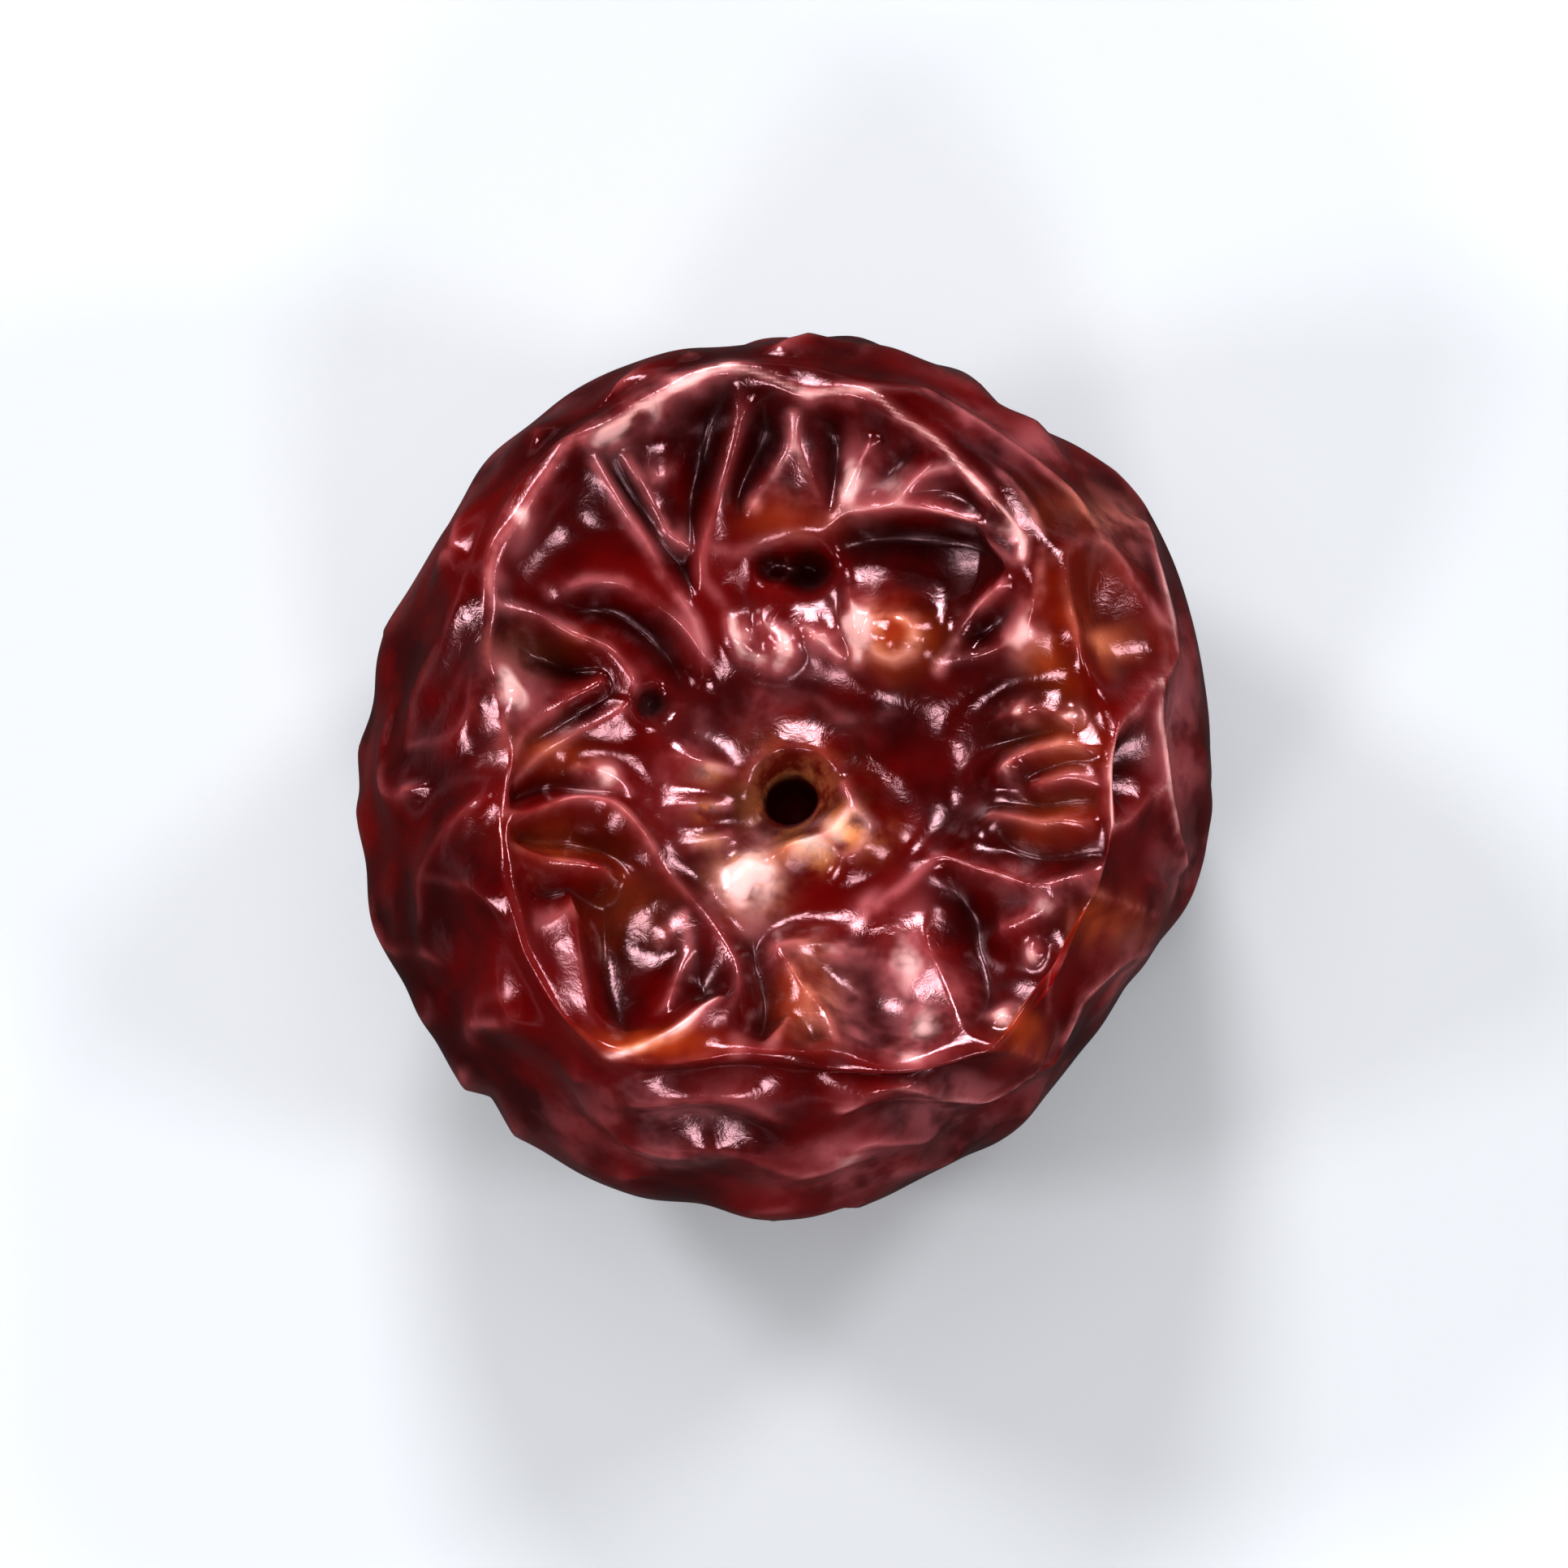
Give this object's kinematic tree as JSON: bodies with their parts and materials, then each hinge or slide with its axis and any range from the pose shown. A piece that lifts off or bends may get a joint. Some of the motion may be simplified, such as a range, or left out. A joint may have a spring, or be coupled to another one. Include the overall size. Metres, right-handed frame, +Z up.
{
  "type": "dried cherry",
  "caption": "Whole dried and pitted cherry, squat and round, with a wrinkled glossy skin and a small open stalk hole in its dished face.",
  "frame": {"origin": "middle of the fruit's outline, on the surface that it lies on", "axes": "+Z up along the fruit's core, out of the stalk hole; +Y away from the camera of the picture's view; +X to its right"},
  "size_m": [0.0142, 0.0148, 0.009],
  "materials": {
    "skin": "glossy, slightly translucent dark red skin with paler fold crests and brown-red flesh at the hole"
  },
  "bodies": {
    "root": {"dried_cherry": "skin"}
  },
  "joints": []
}
